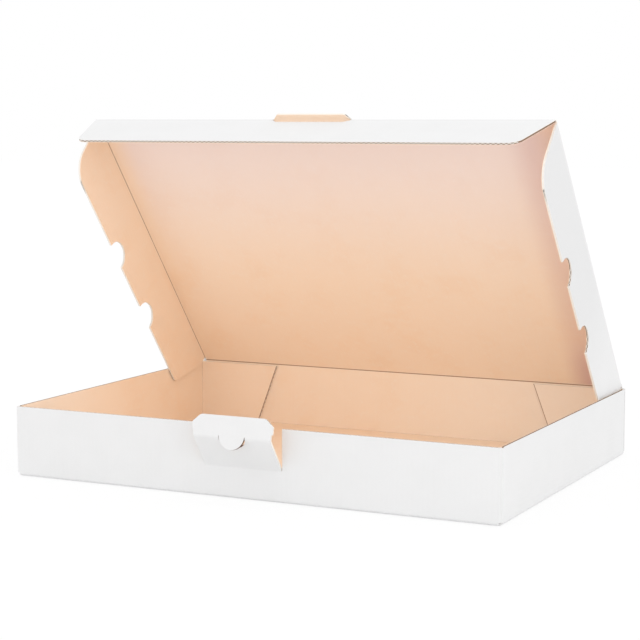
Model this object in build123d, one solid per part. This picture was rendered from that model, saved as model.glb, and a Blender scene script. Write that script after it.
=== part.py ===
from build123d import *
import os

# A mailing box folded from one die-cut sheet of thin corrugated board, white outside and brown inside.
# Origin at the centre of the bottom face, +X along the front wall, -Y towards the front, +Z up.
# Millimetres and degrees.

# Sheet
board = 1.6  # thickness of the corrugated sheet
crease_gap = 0.3  # air beside a crease, so that the panels turn freely
cut_gap = 0.4  # width of a knife cut through the sheet

# Tray
box_length = 350.0  # outside, along the front wall
box_depth = 252.0  # outside, front wall to rear wall
wall_height = 47.6  # front and side walls, from the ground
end_inset = 0.3  # raw ends of the front and rear walls, in from the side walls
tab_length = 68.0  # glued corner tab, along the wall it is glued to
tab_slant = 17.0  # tab end, further back at its foot
tab_drop = 0.6  # tab top below the wall top

# Lid
lid_open = 51.8  # lid above its closed place, as it stands
lid_clearance = 0.8  # lid flap to side wall, each side
lid_seat = 0.2  # closed lid above the wall tops
lid_setback = 7.0  # front fold of the closed lid, behind the outer face of the front wall
corner_relief = 0.4  # front flap, short of the outer corner of the lid

# Side flaps of the lid
side_fold = 90.0  # fold as it stands
side_flap_width = 45.5  # from the outer face of the lid
side_flap_start = 2.8  # crease, from the hinge axis
side_flap_stop = 1.0  # crease, short of the front fold
side_rear_square = 8.0  # rear end, square to the crease as far as this
side_rear_slant = 18.0  # then further forward at its foot
side_front_slant = 7.0  # front end, further back at its foot
side_front_round = 18.0
side_rear_round = 3.0
notch_radius = 11.0  # finger notches in the free edge
notch_centres = (90.5, 152.0)  # from the hinge axis

# Front flap of the lid and the tongue that is cut out of it
front_fold = 70.0  # fold as it stands
front_flap_width = 46.0  # from the outer face of the lid
front_slant = 11.0  # each end, further in at its free edge
front_round = 9.0
tongue_width = 57.8  # at the fold
tongue_taper = 3.6  # each end
tongue_reach = 4.5  # past the fold
tongue_round = 2.0

# Lock tab in the front wall
lock_tilt = 35.3  # out from upright, as it stands
lock_width = 55.6
lock_height = 20.8  # lower crease, from the ground
lip_drop = 0.9  # upper crease, below the wall top
lip_bend = 46.9  # lip against the tab, as it stands
lip_reach = 13.9  # past the upper crease
lip_ear = 1.0  # each ear, past the side of the tab
lip_neck = 4.0  # straight part below the ears
lip_clearance = 0.3  # lip to the slot that it locks into
ear_height = 5.0
lip_top_width = 46.6
lip_round = 4.0
thumb_width = 18.0  # half-round thumb tab, along the upper crease
thumb_reach = 7.5  # below the upper crease

# Sizes that follow
half_length = box_length / 2
half_depth = box_depth / 2
half_board = board / 2
crease_start = half_board + crease_gap  # a panel begins this far from a crease in mid-board
hinge_height = wall_height + lid_seat + half_board
rear_mid = half_depth - half_board
front_mid = -rear_mid
lid_half = half_length - board - lid_clearance  # to the outer faces of the side flaps
side_axis = lid_half - board
fold_reach = box_depth - half_board - lid_setback - half_board  # hinge axis to front fold axis
front_flap_half = lid_half - corner_relief
side_flap_end = fold_reach - side_flap_stop
lock_reach = wall_height - lip_drop - lock_height  # lower to upper crease
lock_half = lock_width / 2
lip_half = lock_half + lip_ear
lip_slot_depth = hinge_height - (wall_height - lip_drop - half_board) + lip_clearance  # from the front fold


def outline(points, corners=()):
    """A flat face through the points, with some of its corners rounded."""
    face = make_face(Polyline(*points, close=True))
    for place, radius in corners:
        corner = face.vertices().sort_by_distance((*place, 0))[0]
        face = fillet([corner], radius)
    return face


def both_sides(half_points):
    """The outline that goes up one side and comes back down its mirror image."""
    return half_points + [(-x, y) for x, y in reversed(half_points)]


def panel(face, inner=half_board):
    """A piece of board whose inner face stands this far above the crease plane."""
    return extrude(Pos(0, 0, inner - board) * face, board)


def crease_rod(half_width, start=0.0):
    """The rounded end of a panel, along a crease in mid-board."""
    run = half_width - start
    rod = Rot(0, 90, 0) * Cylinder(half_board, run)
    if start == 0:
        return Rot(0, 90, 0) * Cylinder(half_board, 2 * run)
    middle = (half_width + start) / 2
    return Pos(middle, 0, 0) * rod + Pos(-middle, 0, 0) * rod


# Each panel has a frame on its crease: x along it, y out across the panel, z towards the inside.
lid_frame = Plane((0, rear_mid, hinge_height), x_dir=(1, 0, 0), z_dir=(0, -1, 0)) * Rot(90 - lid_open, 0, 0)
front_flap_frame = lid_frame * Pos(0, fold_reach, 0) * Rot(front_fold, 0, 0)
left_flap_frame = lid_frame * Pos(-side_axis, 0, half_board) * Rot(0, 0, 90) * Rot(side_fold, 0, 0)
right_flap_frame = lid_frame * Pos(side_axis, 0, half_board) * Rot(0, 0, -90) * Rot(side_fold, 0, 0)
lock_frame = Plane((0, front_mid, lock_height), x_dir=(-1, 0, 0), z_dir=(0, 1, 0)) * Rot(-lock_tilt, 0, 0)
lip_frame = lock_frame * Pos(0, lock_reach, 0) * Rot(lip_bend, 0, 0)


def channel(width, height):
    """Cross-section of a floor with two walls, rounded along the outer bottom folds."""
    outer = outline(
        [(-width / 2, 0), (width / 2, 0), (width / 2, height), (-width / 2, height)],
        [((-width / 2, 0), board), ((width / 2, 0), board)],
    )
    inside = Pos(0, board + height / 2) * Rectangle(width - 2 * board, height)
    return outer - inside


def tray():
    """Floor, four walls and the four corner tabs, glued together."""
    long_walls = extrude(Plane.YZ * channel(box_depth, wall_height), half_length - end_inset, both=True)
    side_walls = extrude(Plane.XZ * channel(box_length, wall_height), half_depth - board, both=True)
    upright = side_walls.edges().filter_by(Axis.Z).group_by(lambda edge: abs(edge.center().X))[-1]
    body = long_walls + fillet(upright, board / 2)
    tab_top = wall_height - tab_drop
    foot = half_length - board / 2
    tab = panel(
        outline([(foot, half_board), (foot, tab_top), (foot - tab_length, tab_top),
                 (foot - tab_length + tab_slant, half_board)]),
    )
    tab_middle = half_depth - board - half_board
    for side in (1, -1):
        stood = Pos(0, side * tab_middle, 0) * Rot(90, 0, 0) * tab
        body = body + stood + mirror(stood, about=Plane.YZ)
    hinge_strip = Pos(0, rear_mid, wall_height) * Box(2 * side_axis, board, 2 * (lid_seat + half_board))
    body = body + hinge_strip + Pos(0, rear_mid, hinge_height) * crease_rod(side_axis)
    window_half = lock_half + cut_gap
    window = Pos(0, front_mid, lock_height + wall_height / 2) * Box(2 * window_half, 2 * board, wall_height)
    return body - window + Pos(0, front_mid, lock_height) * crease_rod(lock_half)


def tongue_outline(grow=0.0):
    """The tongue, or the slot that it leaves in the front flap when it grows by a knife cut."""
    root = tongue_width / 2 + grow
    tip = root - tongue_taper
    end = half_board + tongue_reach + grow
    return outline(
        both_sides([(root, -board), (root, half_board), (tip, end)]),
        [((tip, end), tongue_round), ((-tip, end), tongue_round)],
    )


def lid():
    """The lid panel with its tongue, round along the folds of its flaps."""
    flat = Pos(0, (crease_start + fold_reach) / 2) * Rectangle(2 * side_axis, fold_reach - crease_start)
    body = panel(flat) + Pos(0, fold_reach, 0) * panel(tongue_outline())
    body = body + Pos(0, fold_reach, 0) * crease_rod(front_flap_half, tongue_width / 2)
    fold_run = side_flap_end - side_flap_start
    fold = Pos(0, side_flap_start, half_board) * Rot(-90, 0, 0) * Cylinder(
        board, fold_run, align=(Align.CENTER, Align.CENTER, Align.MIN)
    )
    beside = Box(board, 2 * fold_reach, board, align=(Align.MIN, Align.CENTER, Align.MAX))
    right = Pos(side_axis, 0, 0) * (fold & (Pos(0, 0, half_board) * beside))
    return body + right + mirror(right, about=Plane.YZ)


def front_flap():
    """The flap along the front of the lid, with the slot that the tongue leaves and the lip locks into."""
    edge = front_flap_width - half_board
    tip = front_flap_half - front_slant
    face = outline(
        both_sides([(front_flap_half, crease_start), (tip, edge)]),
        [((tip, edge), front_round), ((-tip, edge), front_round)],
    )
    lip_slot = Rectangle(2 * (lip_half + lip_clearance), 2 * lip_slot_depth)
    return panel(face - tongue_outline(cut_gap) - lip_slot)


def side_flap():
    """A side flap of the lid, drawn for the left side, with two finger notches."""
    edge = side_flap_width - board
    rear = (side_flap_start + side_rear_slant, edge)
    front = (side_flap_end - side_front_slant, edge)
    face = outline(
        [(side_flap_start, crease_gap), (side_flap_end, crease_gap), front, rear,
         (side_flap_start, side_rear_square)],
        [(front, side_front_round), (rear, side_rear_round)],
    )
    for centre in notch_centres:
        face = face - Pos(centre, edge) * Circle(notch_radius)
    return panel(face, 0.0)


def thumb_outline(grow=0.0):
    """The half-round thumb tab below the upper crease, or its hole when it grows by a knife cut."""
    half = thumb_width / 2
    radius = (half**2 + thumb_reach**2) / (2 * thumb_reach)
    round_part = Pos(0, radius - thumb_reach) * Circle(radius + grow)
    below = Pos(0, -radius) * Rectangle(4 * radius, 2 * radius)
    neck = Pos(0, board / 2) * Rectangle(thumb_width + 2 * grow, board)
    return (round_part & below) + neck


def lock_tab():
    """The tab between two slits in the front wall, with the hole of the thumb tab."""
    flat = Pos(0, (crease_start + lock_reach) / 2) * Rectangle(lock_width, lock_reach - crease_start)
    hole = Pos(0, lock_reach) * thumb_outline(cut_gap)
    rods = Pos(0, lock_reach, 0) * crease_rod(lock_half, thumb_width / 2 + cut_gap)
    return panel(flat - hole) + rods


def lock_lip():
    """The lip above the lock tab, with an ear each side, and the thumb tab in one piece with it."""
    top = lip_top_width / 2
    face = outline(
        both_sides([
            (lock_half, crease_start),
            (lock_half, lip_neck),
            (lip_half, lip_neck),
            (lip_half, lip_neck + ear_height),
            (top, lip_reach),
        ]),
        [((top, lip_reach), lip_round), ((-top, lip_reach), lip_round)],
    )
    return panel(face + thumb_outline())


nodes = {
    "base_tray": tray(),
    "lid_panel": lid_frame * lid(),
    "lid_front_flap": front_flap_frame * front_flap(),
    "lid_left_flap": left_flap_frame * side_flap(),
    "lid_right_flap": right_flap_frame * mirror(side_flap(), about=Plane.YZ),
    "lock_tab": lock_frame * lock_tab(),
    "lock_lip": lip_frame * lock_lip(),
}

os.makedirs("parts", exist_ok=True)
for name, shape in nodes.items():
    export_step(shape, f"parts/{name}.step")
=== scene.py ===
import bpy
import math
from mathutils import Matrix, Vector


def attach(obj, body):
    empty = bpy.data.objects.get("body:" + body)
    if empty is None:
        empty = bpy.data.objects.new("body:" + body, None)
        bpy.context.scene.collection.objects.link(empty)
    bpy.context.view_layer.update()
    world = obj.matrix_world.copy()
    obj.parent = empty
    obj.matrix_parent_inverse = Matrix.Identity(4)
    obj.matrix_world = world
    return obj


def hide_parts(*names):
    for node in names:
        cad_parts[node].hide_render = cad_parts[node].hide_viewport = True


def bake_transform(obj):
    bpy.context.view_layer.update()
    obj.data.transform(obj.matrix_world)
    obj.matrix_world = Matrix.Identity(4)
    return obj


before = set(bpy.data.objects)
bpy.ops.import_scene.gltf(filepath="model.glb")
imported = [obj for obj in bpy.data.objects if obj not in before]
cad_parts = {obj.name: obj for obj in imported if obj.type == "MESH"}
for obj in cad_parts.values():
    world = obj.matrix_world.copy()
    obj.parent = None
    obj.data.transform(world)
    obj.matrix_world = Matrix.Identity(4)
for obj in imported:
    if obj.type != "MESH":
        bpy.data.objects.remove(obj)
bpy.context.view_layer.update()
scene = bpy.context.scene
scene.view_settings.view_transform = "Standard"
print("frame:", ", ".join(sorted(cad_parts)))

# The box is one folded sheet. Each panel is modelled flat in millimetres, with the white side down
# and the brown side up, then creased, folded and stood in its place in metres.
mm = 0.001
sheet = {
    "thick": 1.6,
    "liner": 0.26,  # paper on each side of the fluting
    "pitch": 3.45,  # one wave of the fluting
    "waveSteps": 8,
    "waveRise": 0.33,  # crest of the wave, from mid-board
    "fluting": 0.4,  # thickness of the waved paper, frayed by the cut
    "crease": 1.1,  # half of a folded zone
    "lead": 0.4,  # flat strip before it, on the panel that carries the fold
    "shoulder": 0.6,  # flat strip past it
    "folds": 6,  # small bends in one crease
    "press": 0.2,  # groove of the creasing rule
    "pressed": 0.3,  # board that is pressed solid past a fold
    "creaseShade": 0.35,  # half of the painted shade line in a crease
    "tightBend": 0.25,  # least half of a crease at a joint
    "cut": 0.4,  # knife cut
    "seal": 0.5,  # edge that the knife pressed shut, where it ran along the flutes
    "pocket": 0.4,  # depth of the hollows that show in a cut edge
    "smooth": 24.0,  # steepest bend that is shaded smooth
}
halfBoard = sheet["thick"] / 2
underLiner = halfBoard - sheet["liner"]
foldEdge = sheet["crease"] + sheet["lead"]  # a panel ends this far before the fold it carries
solidTo = sheet["crease"] + sheet["pressed"]  # and is solid as far as this past its own fold


# Hand tools

knife = {
    "deep": 3.0,  # through the board, each way from its middle
    "sides": 64,  # of a round knife
    "pastEnd": 180.0,  # clear of the long walls and of the lid
    "pastSide": 140.0,  # clear of the side walls
    "pastTop": 60.0,  # clear of every wall
    "pastLid": 260.0,
    "pastLip": 40.0,
    "beforeFold": -8.0,
}
touch = 0.01  # two places nearer than this are the same


def leaveEdit():
    bpy.ops.object.mode_set(mode="OBJECT")


def settle():  # place, turn and size go into the mesh
    bpy.ops.object.transform_apply(location=True, rotation=True, scale=True)


def deselectAll():
    if bpy.context.mode != "OBJECT":
        leaveEdit()
    bpy.ops.object.select_all(action="DESELECT")


def takeUp(piece):
    deselectAll()
    piece.select_set(True)
    bpy.context.view_layer.objects.active = piece


def pick(piece, kind, test):  # edit mode, with the corners or edges that pass the test selected
    takeUp(piece)
    bpy.ops.object.mode_set(mode="EDIT")
    bpy.ops.mesh.select_mode(type=kind)
    bpy.ops.mesh.select_all(action="DESELECT")
    leaveEdit()
    mesh = piece.data
    if kind == "VERT":
        for corner in mesh.vertices:
            corner.select = test(corner.co)
    else:
        for edge in mesh.edges:
            edge.select = all(test(mesh.vertices[end].co) for end in edge.vertices)
    bpy.ops.object.mode_set(mode="EDIT")


def startBlock(name, low, high):
    deselectAll()
    bpy.ops.mesh.primitive_cube_add(
        size=1,
        location=[(a + b) / 2 for a, b in zip(low, high)],
        scale=[b - a for a, b in zip(low, high)],
    )
    piece = bpy.context.object
    piece.name = name
    settle()
    return piece


def startBoard(name, left, right, near, far):  # board, x along its crease and y across it
    return startBlock(name, (left, near, -halfBoard), (right, far, halfBoard))


def knifeBlock(left, right, near, far):  # goes right through the board
    return startBlock("knife", (left, near, -knife["deep"]), (right, far, knife["deep"]))


def knifeRound(x, y, radius):
    deselectAll()
    bpy.ops.mesh.primitive_cylinder_add(
        vertices=knife["sides"], radius=radius, depth=2 * knife["deep"], location=(x, y, 0),
    )
    settle()
    return bpy.context.object


def scoreAt(piece, place, normal, drop=None):  # a line across the mesh, or one side of it cut off
    takeUp(piece)
    bpy.ops.object.mode_set(mode="EDIT")
    bpy.ops.mesh.select_all(action="SELECT")
    bpy.ops.mesh.bisect(
        plane_co=place, plane_no=normal, use_fill=drop is not None,
        clear_outer=drop == "beyond", clear_inner=drop == "before", threshold=1e-5,
    )
    leaveEdit()


def carve(piece, cutter, way="DIFFERENCE"):
    takeUp(piece)
    cut = piece.modifiers.new("cut", "BOOLEAN")
    cut.operation = way
    cut.solver = "EXACT"
    cut.object = cutter
    bpy.ops.object.modifier_apply(modifier=cut.name)
    bpy.data.objects.remove(cutter)


def nudge(piece, test, move):
    pick(piece, "VERT", test)
    bpy.ops.transform.translate(value=move)
    leaveEdit()


def roundCorner(piece, x, y, radius, angle, steps=10):  # angle is the one inside the corner
    pick(piece, "EDGE", lambda co: abs(co.x - x) < 2 * touch and abs(co.y - y) < 2 * touch)
    bpy.ops.mesh.bevel(
        offset=radius / math.tan(math.radians(angle) / 2), segments=steps, affect="EDGES",
    )
    leaveEdit()


def trimEnds(piece, inner, outer, near, far):  # cuts both ends back, between near and far
    for side in (-1, 1):
        low, high = sorted((side * inner, side * outer))
        carve(piece, knifeBlock(low, high, near, far))


def taperEnd(piece, root, tip, start, end, radius, steps=10):  # narrower to the end, then round
    pick(piece, "VERT", lambda co: co.y > end - touch)
    bpy.ops.transform.resize(value=(tip / root, 1, 1), center_override=(0, end, 0))
    leaveEdit()
    slope = math.degrees(math.atan2(root - tip, end - start))
    for x in (-tip, tip):
        roundCorner(piece, x, end, radius, 90 + slope, steps)
    return slope


def copyOf(piece, name):
    takeUp(piece)
    bpy.ops.object.duplicate(linked=False)
    twin = bpy.context.object
    twin.name = name
    return twin


def joinAll(pieces, name):
    takeUp(pieces[0])
    for piece in pieces[1:]:
        piece.select_set(True)
    bpy.ops.object.join()
    pieces[0].name = name
    pieces[0].data.name = name
    return pieces[0]


# Shader wiring

class Wire:
    def __init__(self, tree, socket=None):
        self.tree = tree
        self.socket = socket

    def add(self, kind, settings=None, values=None, out=0):
        made = self.tree.nodes.new(kind)
        for name, value in (settings or {}).items():
            setattr(made, name, value)
        for name, value in (values or {}).items():
            if isinstance(value, Wire):
                self.tree.links.new(value.socket, made.inputs[name])
            else:
                made.inputs[name].default_value = value
        return Wire(self.tree, made.outputs[out])

    def maths(self, job, first, second=0.0):
        return self.add("ShaderNodeMath", {"operation": job}, {0: first, 1: second})

    def __add__(self, other):
        return self.maths("ADD", self, other)

    def __radd__(self, other):
        return self.maths("ADD", other, self)

    def __sub__(self, other):
        return self.maths("SUBTRACT", self, other)

    def __rsub__(self, other):
        return self.maths("SUBTRACT", other, self)

    def __mul__(self, other):
        return self.maths("MULTIPLY", self, other)

    def __rmul__(self, other):
        return self.maths("MULTIPLY", other, self)

    def sine(self):
        return self.maths("SINE", self)

    def above(self, low, high):  # 0 below low, 1 above high
        return self.add(
            "ShaderNodeMapRange", {"interpolation_type": "SMOOTHSTEP", "clamp": True},
            {"Value": self, "From Min": low, "From Max": high, "To Min": 0.0, "To Max": 1.0},
        )

    def grain(self, where, scale, detail=3.0, rough=0.55):  # 2-D noise, about 0.5 on average
        return self.add(
            "ShaderNodeTexNoise", {"noise_dimensions": "2D"},
            {"Vector": where, "Scale": scale, "Detail": detail, "Roughness": rough},
        )

    def stretched(self, where, across, along, turn=0.0):
        angles = (0.0, 0.0, math.radians(turn))
        return self.add(
            "ShaderNodeMapping", {"vector_type": "POINT"},
            {"Vector": where, "Scale": (across, along, 1.0), "Rotation": angles},
        )

    def tint(self, first, second, share):  # from the first colour to the second
        return self.add(
            "ShaderNodeMix", {"data_type": "RGBA", "blend_type": "MIX", "clamp_factor": True},
            {0: share, 6: first, 7: second}, out=2,
        )

    def dent(self, height):  # height in millimetres
        return self.add("ShaderNodeBump", {}, {"Height": height, "Strength": 1.0, "Distance": mm})


def newFinish(name):
    finish = bpy.data.materials.new(name)
    finish.use_nodes = True
    shader = finish.node_tree.nodes["Principled BSDF"]
    wire = Wire(finish.node_tree)
    onSheet = wire.add("ShaderNodeUVMap", {"uv_map": "sheet"})  # millimetres on the flat blank
    return finish, shader, wire, onSheet


def plugIn(shader, name, wire):
    wire.tree.links.new(wire.socket, shader.inputs[name])


def colour(red, green, blue):
    return (red, green, blue, 1.0)


def acrossAlong(wire, onSheet):
    return [wire.add("ShaderNodeSeparateXYZ", {}, {0: onSheet}, out=way) for way in range(2)]


def washboard(wire, onSheet, across):  # the flutes that show through the paper
    wave = (across * (2 * math.pi / sheet["pitch"])).sine()
    return wave * wire.grain(onSheet, 0.05, 2.0).above(0.25, 0.75)


blankZones = {  # on the flat blank, where each zone begins and where it is full
    "rightStrip": (172.0, 176.0),  # across: right flap of the lid, right wall and its tabs
    "notLeft": (-176.0, -174.0),  # across: all but the left flap, left wall and its tabs
    "lidLeft": (-174.0, -150.0),  # across: in from the lid's left edge
    "lidRight": (150.0, 174.0),  # across: out to its right edge
    "lidRightShade": (130.0, 152.0),  # across: painted shade towards its right flap
    "rearRight": (-60.0, 150.0),  # across: right half of the rear wall
    "notFront": (-120.0, 40.0),  # along: away from the front wall
    "lid": (170.0, 176.0),  # along: from the hinge on
    "pastHinge": (184.0, 224.0),
    "flapFront": (190.0, 290.0),  # along: towards the front of the side flaps
    "pastTabs": (192.0, 198.0),  # along: beyond the rear tabs
    "lidPinkLight": (250.0, 440.0),  # along: painted pinkish light towards the front of the lid
    "lidFold": (400.0, 418.0),  # along: at its front fold
}


def zone(way, name):  # way is across or along
    return way.above(*blankZones[name])


whiteLook = {
    "paper": colour(0.78, 0.78, 0.782),
    "shade": colour(0.75, 0.75, 0.75),
    "flap": colour(0.725, 0.725, 0.727),  # painted shade on the right flap of the lid, towards its front
    "clouds": 0.035,
    "fibres": (0.5, 1.6),  # across and along
    "rough": 0.52,
    "uneven": 0.16,  # roughness that the fibres add
    "shine": 0.35,
}


def makeWhiteLiner():
    finish, shader, wire, onSheet = newFinish("whiteLiner")
    across, along = acrossAlong(wire, onSheet)
    flutes = washboard(wire, onSheet, across)
    cloud = wire.grain(onSheet, whiteLook["clouds"], 3.0)
    fibre = wire.grain(wire.stretched(onSheet, *whiteLook["fibres"]), 1.0, 4.0, 0.65)
    # the flutes term paints faint shade along the ripples, beside their bump
    share = 0.35 * cloud.above(0.35, 0.75) + 0.3 * fibre.above(0.45, 0.8) + 0.06 * flutes
    paper = wire.tint(whiteLook["paper"], whiteLook["shade"], share)
    # painted shade: the right flap's white gets darker towards its front
    rightFlapShade = zone(across, "rightStrip") * zone(along, "flapFront")
    plugIn(shader, "Base Color", wire.tint(paper, whiteLook["flap"], rightFlapShade))
    plugIn(shader, "Roughness", whiteLook["rough"] + whiteLook["uneven"] * fibre)
    plugIn(shader, "Normal", wire.dent(0.012 * flutes + 0.02 * fibre))
    shader.inputs["Specular IOR Level"].default_value = whiteLook["shine"]
    return finish


kraftLook = {
    "paper": colour(0.98, 0.795, 0.63),
    "deep": colour(0.97, 0.76, 0.58),
    "pale": colour(0.98, 0.82, 0.675),
    "pinkLight": colour(0.85, 0.76, 0.80),  # painted pinkish light towards the front of the lid
    "pinkLightShare": 0.68,
    "rightShade": colour(0.647, 0.405, 0.408),  # painted shade on the lid, towards its right flap
    "rightShadeShare": 0.70,  # at the hinge
    "rightShadeEase": 0.38,  # less further on
    "paintedLight": colour(0.99, 0.90, 0.80),  # painted light on the right half of the rear wall and the front of the left wall, and the painted highlight beside a crease
    "rearLightShare": 0.5,
    "leftLightShare": 0.6,
    "beadHighlightShare": 0.6,  # of the painted highlight beside a crease
    "speck": colour(0.62, 0.40, 0.27),
    "speckShare": 0.5,
    # painted shade in the creases, and painted shadow along the corner tabs' cut ends
    "crease": colour(0.42, 0.24, 0.14),
    "clouds": 0.028,
    "blotches": 0.22,
    "fibres": (0.45, 2.4),  # across and along
    "strays": (2.6, 0.7, 24.0),  # across, along and turned
    "rough": 0.72,
    "uneven": 0.2,  # roughness that the fibres add
    "shine": 0.25,
}


def makeKraftLiner():
    finish, shader, wire, onSheet = newFinish("kraftLiner")
    look = kraftLook
    across, along = acrossAlong(wire, onSheet)
    flutes = washboard(wire, onSheet, across)
    cloud = wire.grain(onSheet, look["clouds"], 4.0, 0.6)
    blotch = wire.grain(onSheet, look["blotches"], 4.0, 0.6)
    fibre = wire.grain(wire.stretched(onSheet, *look["fibres"]), 1.0, 5.0, 0.65)
    cross = wire.grain(wire.stretched(onSheet, *look["strays"]), 1.0, 4.0, 0.6)
    # the flutes term paints faint shade along the ripples, beside their bump
    paper = wire.tint(look["paper"], look["deep"], 0.8 * cloud.above(0.45, 0.75) + 0.1 * flutes)
    paper = wire.tint(paper, look["pale"], 0.6 * blotch.above(0.5, 0.8))
    paper = wire.tint(paper, look["deep"], 0.4 * fibre.above(0.55, 0.8))
    specks = fibre.above(0.70, 0.78) * cross.above(0.58, 0.68)
    paper = wire.tint(paper, look["speck"], look["speckShare"] * specks)
    lidShare = zone(along, "lid") * (1.0 - zone(across, "rightStrip"))
    # painted pinkish light on the front of the lid, in from its sides
    lidFrontLight = zone(along, "lidPinkLight") * (1.0 - zone(along, "lidFold"))
    lidFrontLight = lidFrontLight * zone(across, "lidLeft") * (1.0 - zone(across, "lidRight"))
    paper = wire.tint(paper, look["pinkLight"], look["pinkLightShare"] * lidFrontLight)
    # painted shade on the lid along its right flap, strongest at the hinge
    rightEdgeShade = lidShare * zone(across, "lidRightShade")
    rightShade = look["rightShadeShare"] - look["rightShadeEase"] * zone(along, "pastHinge")
    paper = wire.tint(paper, look["rightShade"], rightEdgeShade * rightShade)
    # painted light on the front of the left wall and the right half of the rear wall
    leftFront = (1.0 - zone(across, "notLeft")) * (1.0 - zone(along, "notFront"))
    rearRight = (1.0 - lidShare) * (1.0 - zone(along, "pastTabs")) * zone(across, "rearRight")
    paintedLight = look["rearLightShare"] * rearRight + look["leftLightShare"] * leftFront
    paper = wire.tint(paper, look["paintedLight"], paintedLight)
    # painted shade along each crease and painted shadow along the corner tabs' cut ends, set per
    # corner by markSheet
    crease = wire.add("ShaderNodeAttribute", {"attribute_name": "crease"}, out=2)
    beadHighlight = crease.above(0.02, 0.2) * (1.0 - crease.above(0.25, 0.45))  # painted highlight beside the crease
    paper = wire.tint(paper, look["paintedLight"], look["beadHighlightShare"] * beadHighlight)
    # painted shade in the crease
    paper = wire.tint(paper, look["crease"], crease.above(0.2, 0.8) * (0.75 + 0.5 * fibre))
    plugIn(shader, "Base Color", paper)
    plugIn(shader, "Roughness", look["rough"] + look["uneven"] * fibre)
    plugIn(shader, "Normal", wire.dent(0.014 * flutes + 0.03 * fibre + 0.02 * blotch))
    shader.inputs["Specular IOR Level"].default_value = look["shine"]
    return finish


edgeLook = {"paper": colour(0.88, 0.85, 0.80), "deep": colour(0.81, 0.75, 0.68), "rough": 0.8}
# raw fluting: brown paper, darkened to paint the shade in the flute hollows
fluteShadeLook = {"paper": colour(0.34, 0.22, 0.15), "deep": colour(0.26, 0.16, 0.11), "rough": 0.85}
# painted shade: near-black brown for cut rims that lie in shadow
shadeLook = {"paper": colour(0.15, 0.075, 0.05), "deep": colour(0.11, 0.055, 0.035), "rough": 0.9}
rawLook = {"fibres": (2.6, 3.4, 31.0), "uneven": 0.1, "shine": 0.2}  # the same on all three


def makeRawPaper(name, look):
    finish, shader, wire, onSheet = newFinish(name)
    fibre = wire.grain(wire.stretched(onSheet, *rawLook["fibres"]), 1.0, 5.0, 0.7)
    plugIn(shader, "Base Color", wire.tint(look["paper"], look["deep"], fibre.above(0.35, 0.8)))
    plugIn(shader, "Roughness", look["rough"] + rawLook["uneven"] * fibre)
    plugIn(shader, "Normal", wire.dent(0.03 * fibre))
    shader.inputs["Specular IOR Level"].default_value = rawLook["shine"]
    return finish


boardFinishes = [
    makeWhiteLiner(), makeKraftLiner(),
    makeRawPaper("cutPaper", edgeLook), makeRawPaper("flutedShadedPaper", fluteShadeLook),
    makeRawPaper("shadedPaper", shadeLook),
]
whiteSide, brownSide, cutSide, flutedShadeSide, shadedSide = range(5)
print("finishes:", ", ".join(each.name for each in boardFinishes))


# The board

def makeFlute():  # one wave, 1 mm long, that every panel copies
    deselectAll()
    pitch, steps = sheet["pitch"], sheet["waveSteps"]
    bpy.ops.mesh.primitive_grid_add(x_subdivisions=steps, y_subdivisions=1, size=1)
    flute = bpy.context.object
    flute.name = "fluteWave"
    flute.scale = (pitch, 1, 1)
    settle()
    for step in range(steps + 1):
        x = pitch * (step / steps - 0.5)
        rise = sheet["waveRise"] * math.cos(2 * math.pi * step / steps)
        nudge(flute, lambda co: abs(co.x - x) < touch, (0, 0, rise))
    return flute


fluteWave = makeFlute()


def fluteSheet(left, right, near, far, acrossFold):  # the flutes cross the fold, or run along it
    pitch = sheet["pitch"]
    flutes = copyOf(fluteWave, "flutes")
    start, end = (left, right) if acrossFold else (near, far)
    length = (far - near) if acrossFold else (right - left)
    flutes.scale = (1, length, 1)
    settle()
    rows = flutes.modifiers.new("rows", "ARRAY")
    rows.count = math.ceil((end - start) / pitch)
    rows.use_relative_offset = False
    rows.use_constant_offset = True
    rows.constant_offset_displace = (pitch, 0, 0)
    rows.use_merge_vertices = True
    rows.merge_threshold = touch
    bpy.ops.object.modifier_apply(modifier=rows.name)
    paper = flutes.modifiers.new("paper", "SOLIDIFY")
    paper.thickness = sheet["fluting"]
    paper.offset = 0
    bpy.ops.object.modifier_apply(modifier=paper.name)
    if acrossFold:
        flutes.location = (start + pitch / 2, (near + far) / 2, 0)
    else:
        flutes.rotation_euler = (0, 0, math.pi / 2)
        flutes.location = ((left + right) / 2, start + pitch / 2, 0)
    settle()
    return flutes


def coverLayer(layer, upper, lower, edges):
    layer.data.materials.clear()
    for each in boardFinishes:
        layer.data.materials.append(each)
    for face in layer.data.polygons:
        rise = face.normal.z
        face.material_index = upper if rise > 0.5 else lower if rise < -0.5 else edges


def coreOf(blank):  # what lies between the two papers
    core = copyOf(blank, "core")
    scoreAt(core, (0, 0, underLiner), (0, 0, 1), drop="beyond")
    scoreAt(core, (0, 0, -underLiner), (0, 0, 1), drop="before")
    coverLayer(core, cutSide, cutSide, cutSide)
    return core


def pocketCore(blank, raw):  # fills the board, short of its cut edges
    core = coreOf(blank)
    pick(core, "VERT", lambda co: True)
    bpy.ops.transform.shrink_fatten(value=-sheet["pocket"], use_even_offset=True)
    for level in (-underLiner, underLiner):
        pick(core, "VERT", lambda co: co.z * level > 0)
        bpy.ops.transform.resize(value=(1, 1, 0), center_override=(0, 0, level))
    leaveEdit()
    coverLayer(core, cutSide, cutSide, raw)
    return core


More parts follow.
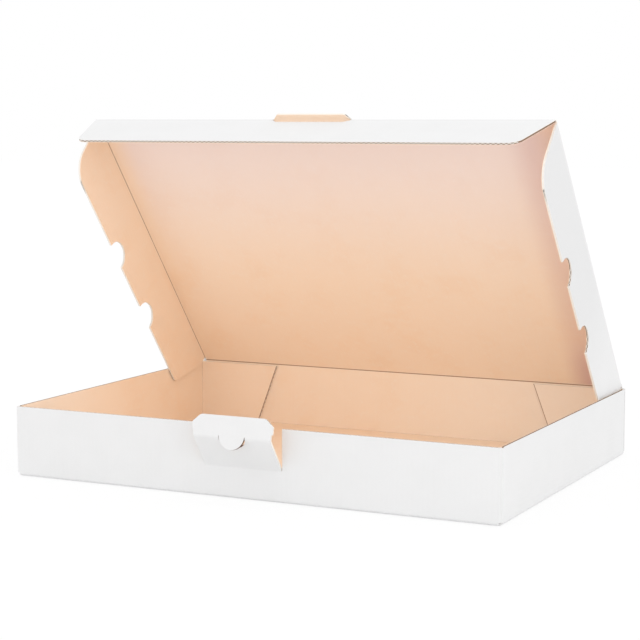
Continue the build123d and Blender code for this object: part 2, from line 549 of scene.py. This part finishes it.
def layBoard(
    blank, crushed=None, acrossFold=True, fluted=True, sealed=(), hollow=(), raw=flutedShadeSide,
    groove=None,
):
    # two papers with fluting between, pressed solid beside the crease and past the sealed lines
    corners = [corner.co for corner in blank.data.vertices]
    low = [min(co[axis] for co in corners) for axis in range(2)]
    high = [max(co[axis] for co in corners) for axis in range(2)]
    white = copyOf(blank, "white")
    scoreAt(white, (0, 0, -underLiner), (0, 0, 1), drop="beyond")
    coverLayer(white, raw, whiteSide, cutSide)
    brown = copyOf(blank, "brown")
    scoreAt(brown, (0, 0, underLiner), (0, 0, 1), drop="before")
    coverLayer(brown, brownSide, raw, brownSide)
    layers = [white, brown]
    if not fluted:
        layers.append(coreOf(blank))
    elif crushed is not None:
        layers.append(coreOf(blank))
        scoreAt(layers[-1], (0, crushed, 0), (0, 1, 0), drop="beyond")
    if fluted:
        for place, normal in sealed:
            layers.append(coreOf(blank))
            scoreAt(layers[-1], place, normal, drop="before")
            if crushed is not None:
                scoreAt(layers[-1], (0, crushed, 0), (0, 1, 0), drop="before")
        near = low[1] - 1 if crushed is None else crushed
        flutes = fluteSheet(low[0] - 1, high[0] + 1, near, high[1] + 1, acrossFold)
        inside = copyOf(blank, "inside")
        for place, normal in (*sealed, *hollow):
            scoreAt(inside, place, normal, drop="beyond")
        carve(flutes, inside, "INTERSECT")
        coverLayer(flutes, cutSide, raw, cutSide)
        layers += [flutes, pocketCore(blank, raw)]
        if groove:
            carve(layers[-1], knifeBlock(*groove))
    bpy.data.objects.remove(blank)
    return joinAll(layers, "board")


def paperOver(piece, place):  # white paper is drawn over both ends, from here out
    for line in (-place, place):
        scoreAt(piece, (line, 0, 0), (1, 0, 0))
    for face in piece.data.polygons:
        if abs(face.center.x) > place:
            face.material_index = whiteSide


def sealedEnds(half):  # both ends, cut along the flutes
    inner = half - sheet["seal"]
    return tuple(((side * inner, 0, 0), (side, 0, 0)) for side in (-1, 1))


def foldStep(angle):  # length of one small bend, along mid-board
    radius = sheet["crease"] / math.tan(math.radians(abs(angle)) / 2)
    return 2 * radius * math.tan(math.radians(abs(angle)) / (2 * sheet["folds"]))


def creaseStart(angle):  # where a folded panel's own board begins
    return sheet["crease"] - sheet["folds"] * foldStep(angle) - sheet["lead"]


def markSheet(piece, origin, xWay, yWay, creaseRow=None, wide=None, shaded=None):
    # its place on the flat blank, and the painted shade along its crease and along a cut end that
    # lies in shade
    mesh = piece.data
    while mesh.uv_layers:
        mesh.uv_layers.remove(mesh.uv_layers[0])
    places = mesh.uv_layers.new(name="sheet")
    flat = []
    for loop in mesh.loops:
        co = mesh.vertices[loop.vertex_index].co
        flat += [origin[axis] + co.x * xWay[axis] + co.y * yWay[axis] for axis in range(2)]
    places.data.foreach_set("uv", flat)
    crease = mesh.attributes.new("crease", "FLOAT", "POINT")
    if creaseRow is not None:
        dark = [max(0.0, 1 - abs(v.co.y - creaseRow) / wide) for v in mesh.vertices]
        if shaded:
            place, normal, reach = shaded
            for row, corner in enumerate(mesh.vertices):
                dark[row] = max(dark[row], 1 - (place - corner.co).dot(normal) / reach)
        crease.data.foreach_set("value", dark)


def creaseAndFold(piece, angle, origin, xWay, yWay, wide=sheet["creaseShade"], shaded=None):
    half, bends, step = sheet["crease"], sheet["folds"], foldStep(angle)
    rows = [half - step * (bends - row) for row in range(bends + 1)]
    for y in rows + [half + sheet["shoulder"]]:
        scoreAt(piece, (0, y, 0), (0, 1, 0))
    middle = rows[bends // 2]
    nudge(
        piece, lambda co: co.z > halfBoard - touch and abs(co.y - middle) < touch,
        (0, 0, -sheet["press"]),
    )
    markSheet(piece, origin, xWay, yWay, middle, wide, shaded)
    nudge(piece, lambda co: True, (0, bends * step - 2 * half, 0))
    flatRows = [corner.co.y for corner in piece.data.vertices]
    for bend in reversed(range(bends)):
        pivot = -half + step * (bend + 0.5)
        takeUp(piece)
        bpy.ops.object.mode_set(mode="EDIT")
        bpy.ops.mesh.select_mode(type="VERT")
        bpy.ops.mesh.select_all(action="DESELECT")
        leaveEdit()
        piece.data.vertices.foreach_set("select", [y > pivot for y in flatRows])
        bpy.ops.object.mode_set(mode="EDIT")
        bpy.ops.transform.rotate(
            value=-math.radians(angle) / bends, orient_axis="X", orient_type="GLOBAL",
            center_override=(0, pivot, 0),
        )
        leaveEdit()


def standInPlace(piece, place):
    takeUp(piece)
    piece.matrix_world = place @ Matrix.Scale(mm, 4)
    settle()
    bpy.ops.object.shade_smooth_by_angle(angle=math.radians(sheet["smooth"]))


def panelFrame(origin, xWay, zWay):  # x along the crease, y across the panel, z to the brown side
    x, z = Vector(xWay), Vector(zWay)
    place = Matrix((x, z.cross(x), z)).transposed().to_4x4()
    place.translation = Vector(origin) * mm
    return place


def moved(x, y, z):
    return Matrix.Translation(Vector((x, y, z)) * mm)


def turned(angle, axis):
    return Matrix.Rotation(math.radians(angle), 4, axis)


def bendBetween(piece):
    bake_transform(piece)


def handOver(piece, *nodes):
    if nodes:
        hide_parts(*nodes)
    print("piece:", piece.name, len(piece.data.polygons), "faces")


# Tray: floor, four walls and the glued corner tabs

trayBox = {
    "midX": 174.2,  # middle of the side walls' board
    "midY": 125.2,
    "midZ": 0.8,
    "wallTop": 46.8,  # from the floor's mid-board
    "wallEnd": 174.7,  # raw ends of the front and rear walls
    "whiteLap": 1.6,  # the outer paper is drawn over them
    "openTop": 2.0,  # depth of the open groove in the side walls' top edges
    "openFrom": 45.0,  # it is deep from here to the rear, beside the lid's flaps
    "cornerRelief": 173.4,
    "tabMidY": 123.6,
    "tabGap": 0.2,  # foot of a side wall, short of the middle of its tabs
    "tabLength": 68.0,
    "tabSlant": 17.0,
    "tabFoot": 0.85,
    "tabTop": 46.2,
    "tabShade": 0.9,  # painted shadow line along its cut end
    "windowHalf": 28.2,
    "windowFoot": 20.0,
    "lockHalf": 27.8,
    "hingeRise": 47.8,
    "hingeHalf": 172.6,
}


def floorPanel():
    halfX, halfY = trayBox["midX"] - foldEdge, trayBox["midY"] - foldEdge
    panel = layBoard(startBoard("floor", -halfX, halfX, -halfY, halfY), fluted=False)
    markSheet(panel, (0, 0), (1, 0), (0, 1))
    standInPlace(panel, moved(0, 0, trayBox["midZ"]))
    return panel


def longWall(name, front):
    end, near = trayBox["wallEnd"], creaseStart(90)
    blank = startBoard(name, -end, end, near, trayBox["wallTop"])
    trimEnds(blank, trayBox["cornerRelief"], knife["pastEnd"], near - 1, solidTo)
    past = knife["pastTop"]
    if front:
        foot, half, slit = trayBox["windowFoot"], trayBox["lockHalf"], trayBox["windowHalf"]
        carve(blank, knifeBlock(-half, half, foot - foldEdge, past))
        carve(blank, knifeBlock(-slit, slit, foot, past))
    else:
        half = trayBox["hingeHalf"]
        carve(blank, knifeBlock(-half, half, trayBox["hingeRise"] - foldEdge, past))
    wall = layBoard(blank, crushed=solidTo, sealed=sealedEnds(end))
    paperOver(wall, end - trayBox["whiteLap"])
    side = -1 if front else 1
    creaseAndFold(wall, 90, (0, side * trayBox["midY"]), (side, 0), (0, side))
    foot = (0, side * trayBox["midY"], trayBox["midZ"])
    standInPlace(wall, panelFrame(foot, (side, 0, 0), (0, 0, 1)))
    return wall


def shortWall(name, side):  # side is 1 on the right, -1 on the left
    middle, top = trayBox["tabMidY"], trayBox["wallTop"]
    half = middle - trayBox["tabGap"]
    blank = startBoard(name, -half, half, creaseStart(90), top)
    trimEnds(blank, middle - foldEdge, knife["pastSide"], sheet["crease"], knife["pastTop"])
    openFoot = top - trayBox["openTop"]
    openRun = sorted((-side * trayBox["openFrom"], -side * knife["pastSide"]))
    wall = layBoard(
        blank, crushed=solidTo, acrossFold=False, hollow=(((0, openFoot, 0), (0, 1, 0)),),
        groove=(*openRun, openFoot, knife["pastTop"]),
    )
    for face in wall.data.polygons:
        if abs(face.normal.x) > 0.9 and abs(face.center.x) > half - touch:
            face.material_index = whiteSide  # foot of the corner
    creaseAndFold(wall, 90, (side * trayBox["midX"], 0), (0, -side), (side, 0))
    foot = (side * trayBox["midX"], 0, trayBox["midZ"])
    standInPlace(wall, panelFrame(foot, (0, -side, 0), (0, 0, 1)))
    return wall


def cornerTab(name, side, end):  # end is 1 at the rear, -1 at the front
    up = side * end  # which way the tab's own x runs
    foot, top = sorted((up * trayBox["tabFoot"], up * trayBox["tabTop"]))
    blank = startBoard(name, foot, top, creaseStart(90), trayBox["tabLength"])
    low, tip = up * trayBox["tabFoot"], trayBox["tabLength"] - touch
    nudge(
        blank, lambda co: abs(co.x - low) < touch and co.y > tip, (0, -trayBox["tabSlant"], 0),
    )
    topLine = up * (trayBox["tabTop"] - sheet["seal"])
    tab = layBoard(blank, crushed=solidTo, sealed=(((topLine, 0, 0), (up, 0, 0)),))
    rise, shade = trayBox["tabTop"] - trayBox["tabFoot"], trayBox["tabShade"]
    corner = Vector((up * trayBox["tabTop"], trayBox["tabLength"], 0))
    outward = Vector((-up * trayBox["tabSlant"], rise, 0)).normalized()
    # a row of corners where the painted shadow along the cut end begins
    scoreAt(tab, corner - shade * outward, outward)
    place = (side * trayBox["midX"], end * trayBox["tabMidY"])
    creaseAndFold(tab, 90, place, (side * up, 0), (0, end), shaded=(corner, outward, shade))
    standInPlace(tab, panelFrame((*place, trayBox["midZ"]), (0, 0, up), (-side, 0, 0)))
    return tab


trayParts = [floorPanel(), longWall("frontWall", True), longWall("rearWall", False)]
for side in (-1, 1):
    trayParts.append(shortWall("sideWall", side))
    for end in (-1, 1):
        trayParts.append(cornerTab("cornerTab", side, end))
tray = joinAll(trayParts, "tray_board")
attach(tray, "tray")
handOver(tray, "base_tray")


# Lid panel, from its hinge crease to its tongue

lidPanel = {
    "halfWidth": 170.3,
    "hingeHalf": 172.4,
    "hingeRun": 2.7,  # full width up to here, where the side flaps begin
    "earFrom": 170.6,  # the ends of that strip are white from here out
    "creaseShade": 1.0,  # half of the painted shade line in its hinge crease
    "reach": 243.4,  # hinge axis to front fold
    "hinge": (0, 125.2, 48.6),
    "fold": 38.2,  # off upright
    "tongueRoot": 28.9,
    "tongueTaper": 3.6,
    "tongueReach": 4.5,
    "tongueRound": 2.0,
    "tongueLap": 6.0,  # back into the lid
}
hingePlace = panelFrame(lidPanel["hinge"], (1, 0, 0), (0, -1, 0))
lidPlace = hingePlace @ turned(lidPanel["fold"], "X")
lidOnSheet = trayBox["midY"] + trayBox["hingeRise"]


def tongueBlock(near, base, grow, depth):  # base is the front fold
    root = lidPanel["tongueRoot"] + grow
    tip = root - lidPanel["tongueTaper"]
    start = base + halfBoard
    end = start + lidPanel["tongueReach"] + grow
    block = startBlock("tongue", (-root, near, -depth), (root, end, depth))
    scoreAt(block, (0, start, 0), (0, 1, 0))
    taperEnd(block, root, tip, start, end, lidPanel["tongueRound"], 6)
    return block


def makeLid():
    hingeHalf, reach = lidPanel["hingeHalf"], lidPanel["reach"]
    near = creaseStart(lidPanel["fold"])
    blank = startBoard("lid", -hingeHalf, hingeHalf, near, reach - foldEdge)
    trimEnds(
        blank, lidPanel["halfWidth"], knife["pastEnd"], lidPanel["hingeRun"], knife["pastLid"],
    )
    carve(blank, tongueBlock(reach - lidPanel["tongueLap"], reach, 0.0, halfBoard), "UNION")
    tongueEnd = reach + halfBoard + lidPanel["tongueReach"] - sheet["seal"]
    shut = (*sealedEnds(hingeHalf), ((0, tongueEnd, 0), (0, 1, 0)))
    lid = layBoard(blank, crushed=solidTo, sealed=shut)
    paperOver(lid, lidPanel["earFrom"])
    creaseAndFold(lid, lidPanel["fold"], (0, lidOnSheet), (1, 0), (0, 1), wide=lidPanel["creaseShade"])
    standInPlace(lid, hingePlace)
    lid.name = "lid_board"
    return lid


lid = makeLid()
bendBetween(lid)
handOver(lid, "lid_panel")


# Front flap of the lid, with the slot that the tongue leaves

frontFlap = {
    "half": 172.2,
    "creaseHalf": 170.6,  # in its crease, clear of the side flaps
    "creaseTop": 0.25,  # as far as this
    "edge": 45.2,
    "slant": 11.0,
    "openEnd": 1.2,  # groove between the papers, along each end
    "round": 9.0,
    "fold": 70.0,
    "slotHalf": 29.1,  # where the lip of the lock goes in
    "slotDepth": 3.0,
}
frontPlace = lidPlace @ moved(0, lidPanel["reach"], 0)


def makeFrontFlap():
    half, edge, start = frontFlap["half"], frontFlap["edge"], sheet["crease"]
    blank = startBoard("frontFlap", -half, half, creaseStart(frontFlap["fold"]), edge)
    scoreAt(blank, (0, start, 0), (0, 1, 0))
    tip = half - frontFlap["slant"]
    steep = math.radians(taperEnd(blank, half, tip, start, edge, frontFlap["round"]))
    near, slot = knife["beforeFold"], frontFlap["slotHalf"]
    carve(blank, tongueBlock(near, 0.0, sheet["cut"], knife["deep"]))
    carve(blank, knifeBlock(-slot, slot, near, frontFlap["slotDepth"]))
    trimEnds(blank, frontFlap["creaseHalf"], knife["pastEnd"], near, frontFlap["creaseTop"])
    shut = half - frontFlap["openEnd"]
    ends = tuple(
        ((side * shut, start, 0), (side * math.cos(steep), math.sin(steep), 0)) for side in (-1, 1)
    )
    flap = layBoard(blank, crushed=solidTo, hollow=ends)
    creaseAndFold(flap, frontFlap["fold"], (0, lidOnSheet + lidPanel["reach"]), (1, 0), (0, 1))
    standInPlace(flap, frontPlace)
    flap.name = "front_flap_board"
    return flap


front = makeFrontFlap()
bendBetween(front)
handOver(front, "lid_front_flap")


# Side flaps of the lid, each with two finger notches

sideFlap = {
    "foldX": 171.8,  # where the middles of lid and flap would meet
    "start": 2.8,
    "end": 242.4,
    "edge": 44.7,
    "rearSquare": 8.8,  # rear end, square to the crease as far as this
    "rearSlant": 18.0,
    "rearRound": 3.0,
    "frontSlant": 7.0,
    "frontRound": 18.0,
    "shutFront": 30.0,  # length of the front end that is pressed shut
    "notches": (90.5, 152.0),
    "notchRadius": 11.0,
    "fold": 90.0,
    "creaseShade": 1.4,  # half of the painted shade line in its crease
}


def sidePlace(side):
    return lidPlace @ moved(side * sideFlap["foldX"], 0, 0) @ turned(-90 * side, "Z")


def makeSideFlap(name, side):
    way, edge, start = -side, sideFlap["edge"], sheet["crease"]
    rear, frontEnd = way * sideFlap["start"], way * sideFlap["end"]
    left, right = sorted((rear, frontEnd))
    blank = startBoard(name, left, right, creaseStart(sideFlap["fold"]), edge)
    square = sideFlap["rearSquare"]
    for y in (start, square):
        scoreAt(blank, (0, y, 0), (0, 1, 0))
    frontSlope = sideFlap["frontSlant"] / (edge - start)
    nudge(
        blank, lambda co: abs(co.x - frontEnd) < touch and abs(co.y - square) < touch,
        (-way * frontSlope * (square - start), 0, 0),
    )
    for x, slant, rise, radius in (
        (rear, way * sideFlap["rearSlant"], edge - square, sideFlap["rearRound"]),
        (frontEnd, -way * sideFlap["frontSlant"], edge - start, sideFlap["frontRound"]),
    ):
        nudge(blank, lambda co: abs(co.x - x) < touch and co.y > edge - touch, (slant, 0, 0))
        slope = math.degrees(math.atan2(abs(slant), rise))
        roundCorner(blank, x + slant, edge, radius, 90 + slope, 12)
    for notch in sideFlap["notches"]:
        carve(blank, knifeRound(way * notch, edge, sideFlap["notchRadius"]))
    shut = (
        ((0, edge - sheet["seal"], 0), (0, 1, 0)),
        ((frontEnd - way * sideFlap["shutFront"], 0, 0), (way, 0, 0)),
    )
    raw = flutedShadeSide if side > 0 else cutSide  # the right one's raw edges carry the painted flute shade, the left one's take the pale cut colour
    flap = layBoard(blank, crushed=solidTo, acrossFold=False, sealed=shut, raw=raw)
    place = (side * sideFlap["foldX"], lidOnSheet)
    creaseAndFold(flap, sideFlap["fold"], place, (0, way), (side, 0), wide=sideFlap["creaseShade"])
    standInPlace(flap, sidePlace(side))
    flap.name = name
    return flap


for side, body in ((-1, "left_flap"), (1, "right_flap")):
    flap = makeSideFlap(body + "_board", side)
    bendBetween(flap)
    handOver(flap, "lid_" + body)


# Lock tab in the front wall, its lip and the thumb tab

lockTab = {
    "half": 27.8,
    "foot": (0, -125.2, 20.8),
    "reach": 25.9,  # lower to upper crease
    "fold": -35.3,
    "thumbRadius": 9.15,
    "thumbRise": 1.65,  # its centre, above the upper crease
    "thumbHalf": 9.4,  # slit beside the thumb tab
    "thumbSides": 96,
}
lockPlace = panelFrame(lockTab["foot"], (-1, 0, 0), (0, 1, 0))
lockOnSheet = -trayBox["midY"] - trayBox["windowFoot"]


def makeLockTab():
    half, reach = lockTab["half"], lockTab["reach"]
    blank = startBoard("lockTab", -half, half, creaseStart(lockTab["fold"]), reach - foldEdge)
    hole = Vector((0, reach + lockTab["thumbRise"], 0))
    carve(blank, knifeRound(hole.x, hole.y, lockTab["thumbRadius"] + sheet["cut"]))
    tab = layBoard(blank, crushed=solidTo, sealed=sealedEnds(half))
    rim = lockTab["thumbRadius"] + 2 * sheet["cut"]
    # the rims of the thumb hole get the painted shade
    for face in tab.data.polygons:
        if abs(face.normal.z) < 0.5 and (face.center - hole).length < rim:
            face.material_index = shadedSide
    creaseAndFold(tab, lockTab["fold"], (0, lockOnSheet), (-1, 0), (0, -1))
    standInPlace(tab, lockPlace)
    tab.name = "lock_tab_board"
    return tab


lock = makeLockTab()
bendBetween(lock)
handOver(lock, "lock_tab")

lockLip = {
    "fold": 46.9,
    "reach": 13.9,
    "half": 27.8,
    "earHalf": 28.8,
    "neck": 4.0,
    "earTop": 9.0,
    "topHalf": 23.3,
    "round": 4.0,
}
lipPlace = lockPlace @ turned(lockTab["fold"], "X") @ moved(0, lockTab["reach"], 0)


def makeLip():
    near = creaseStart(lockLip["fold"])
    ear, top, reach = lockLip["earHalf"], lockLip["topHalf"], lockLip["reach"]
    blank = startBoard("lip", -ear, ear, near, reach)
    scoreAt(blank, (0, lockLip["earTop"], 0), (0, 1, 0))
    taperEnd(blank, ear, top, lockLip["earTop"], reach, lockLip["round"], 6)
    trimEnds(blank, lockLip["half"], knife["pastLip"], near - 1, lockLip["neck"])
    slit = lockTab["thumbHalf"]
    carve(blank, knifeBlock(-slit, slit, near - 1, sheet["crease"]))
    lip = layBoard(blank, crushed=solidTo, sealed=sealedEnds(lockLip["half"]))
    creaseAndFold(lip, lockLip["fold"], (0, lockOnSheet - lockTab["reach"]), (-1, 0), (0, -1))
    standInPlace(lip, lipPlace)
    lip.name = "lock_lip_board"
    return lip


def makeThumbTab():  # goes on straight below the lip
    deselectAll()
    bpy.ops.mesh.primitive_cylinder_add(
        vertices=lockTab["thumbSides"], radius=lockTab["thumbRadius"], depth=sheet["thick"],
        location=(0, lockTab["thumbRise"], 0),
    )
    blank = bpy.context.object
    settle()
    scoreAt(blank, (0, sheet["crease"], 0), (0, 1, 0), drop="beyond")
    thumb = layBoard(blank)
    # the thumb tab's rim gets the painted shade
    for face in thumb.data.polygons:
        if abs(face.normal.z) < 0.5:
            face.material_index = shadedSide
    markSheet(thumb, (0, lockOnSheet - lockTab["reach"]), (-1, 0), (0, -1))
    standInPlace(thumb, lipPlace @ turned(lockLip["fold"], "X"))
    thumb.name = "thumb_tab_board"
    return thumb


lip = makeLip()
bendBetween(lip)
handOver(lip, "lock_lip")
thumb = makeThumbTab()
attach(thumb, "lip")
handOver(thumb)
bpy.data.objects.remove(fluteWave)


# Studio: pale floor, soft light, camera

studio = {
    "floorHalf": 6.0,
    "floorDrop": 0.0004,
    "floorGrey": colour(0.94, 0.94, 0.94),
    "floorShare": 0.87,  # of plain white that the camera sees in the floor
    "sky": 1.12,
    "softboxes": (  # name, place, size, watts
        ("overhead", (-0.3, -0.6, 2.2), 2.4, 1.0),
        ("rightFill", (1.7, -1.2, 1.0), 1.4, 4.0),
    ),
    "aim": (0.0, 0.0, 0.1),
    "camera": (0.54321, -1.11170, 0.24743),
    "azimuth": 26.345,
    "elevation": 6.709,
    "roll": -0.143,
    "focalPixels": 1794.35,
    "picturePixels": 640,
    "sensor": 36.0,
}


def seenByCamera(wire):
    direct, glossy, through = (
        wire.add("ShaderNodeLightPath", out=name)
        for name in ("Is Camera Ray", "Is Glossy Ray", "Is Transmission Ray")
    )
    return wire.maths("MINIMUM", direct + glossy + through, 1.0)


def makeFloor():
    deselectAll()
    half = studio["floorHalf"]
    bpy.ops.mesh.primitive_plane_add(size=2 * half, location=(0, 0, -studio["floorDrop"]))
    floor = bpy.context.object
    floor.name = "studio_floor"
    settle()
    finish = bpy.data.materials.new("studioFloor")
    finish.use_nodes = True
    tree = finish.node_tree
    wire = Wire(tree)
    matte = wire.add("ShaderNodeBsdfDiffuse", {}, {"Color": studio["floorGrey"]})
    glow = wire.add("ShaderNodeEmission", {}, {"Color": colour(1, 1, 1), "Strength": 1.0})
    share = studio["floorShare"] * seenByCamera(wire)
    both = wire.add("ShaderNodeMixShader", {}, {0: share, 1: matte, 2: glow})
    tree.links.new(both.socket, tree.nodes["Material Output"].inputs["Surface"])
    floor.data.materials.append(finish)


def makeSky():
    world = bpy.data.worlds.new("studioSky")
    scene.world = world
    world.use_nodes = True
    tree = world.node_tree
    wire = Wire(tree)
    strength = studio["sky"] + (1.0 - studio["sky"]) * seenByCamera(wire)
    background = tree.nodes["Background"]
    background.inputs["Color"].default_value = colour(1, 1, 1)
    tree.links.new(strength.socket, background.inputs["Strength"])


def makeSoftboxes():
    for name, place, size, watts in studio["softboxes"]:
        lamp = bpy.data.lights.new(name, "AREA")
        lamp.energy = watts
        lamp.shape = "SQUARE"
        lamp.size = size
        box = bpy.data.objects.new(name, lamp)
        scene.collection.objects.link(box)
        box.location = place
        aim = Vector(studio["aim"]) - Vector(place)
        box.rotation_euler = aim.to_track_quat("-Z", "Y").to_euler()


def makeCamera():
    lens = bpy.data.cameras.new("camera")
    lens.sensor_width = studio["sensor"]
    lens.lens = studio["focalPixels"] / studio["picturePixels"] * studio["sensor"]
    camera = bpy.data.objects.new("camera", lens)
    scene.collection.objects.link(camera)
    camera.matrix_world = (
        Matrix.Translation(studio["camera"]) @ turned(studio["azimuth"], "Z")
        @ turned(90 - studio["elevation"], "X") @ turned(studio["roll"], "Z")
    )
    scene.camera = camera


makeFloor()
makeSky()
makeSoftboxes()
makeCamera()
print("studio: floor, sky,", len(studio["softboxes"]), "softboxes, camera")
